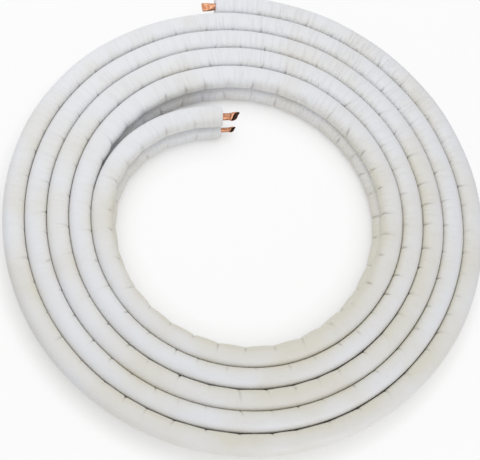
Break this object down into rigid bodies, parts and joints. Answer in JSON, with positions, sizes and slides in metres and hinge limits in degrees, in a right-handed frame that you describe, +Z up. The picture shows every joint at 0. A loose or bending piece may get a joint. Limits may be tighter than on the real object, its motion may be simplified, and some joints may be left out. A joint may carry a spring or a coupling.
{
  "type": "insulated copper tube coil",
  "caption": "Flat coil of paired copper refrigerant line, each tube in a white foam sleeve, with pinched copper ends at its inner and outer turn.",
  "frame": {"origin": "middle of the coil's box on the ground that it lies on", "axes": "+Z up along the coil's axis; both tube ends are at the +Y side, the inner end facing +X and the outer end facing -X"},
  "size_m": [0.628, 0.6418, 0.0476],
  "materials": {
    "gas_foam_sleeve": "white polyethylene foam with a smooth film skin",
    "gas_copper_tube": "bare drawn copper, slightly tarnished",
    "liquid_foam_sleeve": "white polyethylene foam with a smooth film skin",
    "liquid_copper_tube": "bare drawn copper, slightly tarnished"
  },
  "bodies": {
    "root": {"gas_foam_sleeve": "gas_foam_sleeve", "gas_copper_tube": "gas_copper_tube", "liquid_foam_sleeve": "liquid_foam_sleeve", "liquid_copper_tube": "liquid_copper_tube"}
  },
  "joints": []
}
